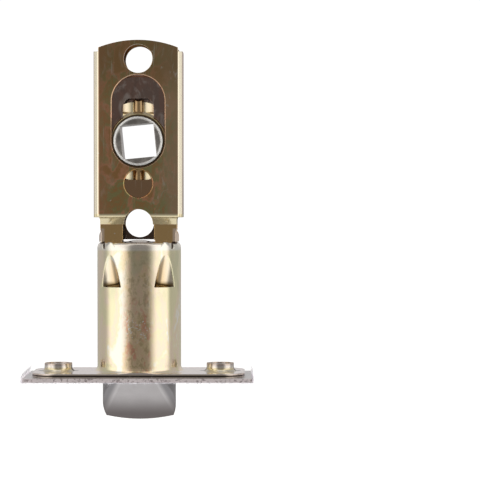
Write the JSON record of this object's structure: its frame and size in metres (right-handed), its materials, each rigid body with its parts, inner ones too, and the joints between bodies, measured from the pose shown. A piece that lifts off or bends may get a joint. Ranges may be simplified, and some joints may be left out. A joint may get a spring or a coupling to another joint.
{
  "type": "tubular door latch",
  "caption": "Tubular door latch with an adjustable backset: a spring bolt in a round housing, drawn back by a turning hub for a square spindle.",
  "frame": {"origin": "centre of the faceplate's outer face, on the bolt's axis", "axes": "+Z from the faceplate into the door, along the tube and the case, so the bolt points along -Z; +X along the faceplate's length; +Y along the spindle, away from the bolt's bevel"},
  "size_m": [0.0576, 0.0256, 0.096],
  "materials": {
    "yellow_zinc": "yellow passivated zinc plating, satin",
    "bright_zinc": "bright zinc plating",
    "satin_nickel": "satin nickel plating",
    "stainless_sheet": "brushed stainless steel",
    "clear_film": "clear protective film",
    "spring_steel": "drawn spring wire"
  },
  "bodies": {
    "housing": {"housing_tube": "yellow_zinc", "faceplate": "stainless_sheet", "protective_film": "clear_film", "case_front": "yellow_zinc", "case_back": "yellow_zinc", "spring_seat": "yellow_zinc", "bolt_spring": "spring_steel"},
    "carriage": {"hub_carriage": "yellow_zinc"},
    "hub": {"spindle_hub": "bright_zinc", "cam_front": "yellow_zinc", "cam_back": "yellow_zinc"},
    "bolt": {"bolt_head": "satin_nickel", "tail_bar_left": "yellow_zinc", "tail_bar_right": "yellow_zinc", "lift_pins": "bright_zinc", "tail_rivets": "bright_zinc"}
  },
  "joints": [
    {"name": "backset_slide", "type": "slide", "parent": "housing", "child": "carriage", "axis": [0, 0, 1], "range_m": [0, 0.01]},
    {"name": "hub_turn", "type": "hinge", "parent": "carriage", "child": "hub", "pos_m": [0, 0, 0.06], "axis": [0, 1, 0], "range_deg": [0, 70]},
    {"name": "bolt_slide", "type": "slide", "parent": "housing", "child": "bolt", "axis": [0, 0, 1], "range_m": [0, 0.0105], "stiffness_N_per_m": 480, "springref_m": -0.0065, "deforming": ["bolt_spring"]}
  ],
  "couplings": [
    {"joint": "hub_turn", "follows": "bolt_slide", "rad_per_m": 116.36}
  ]
}
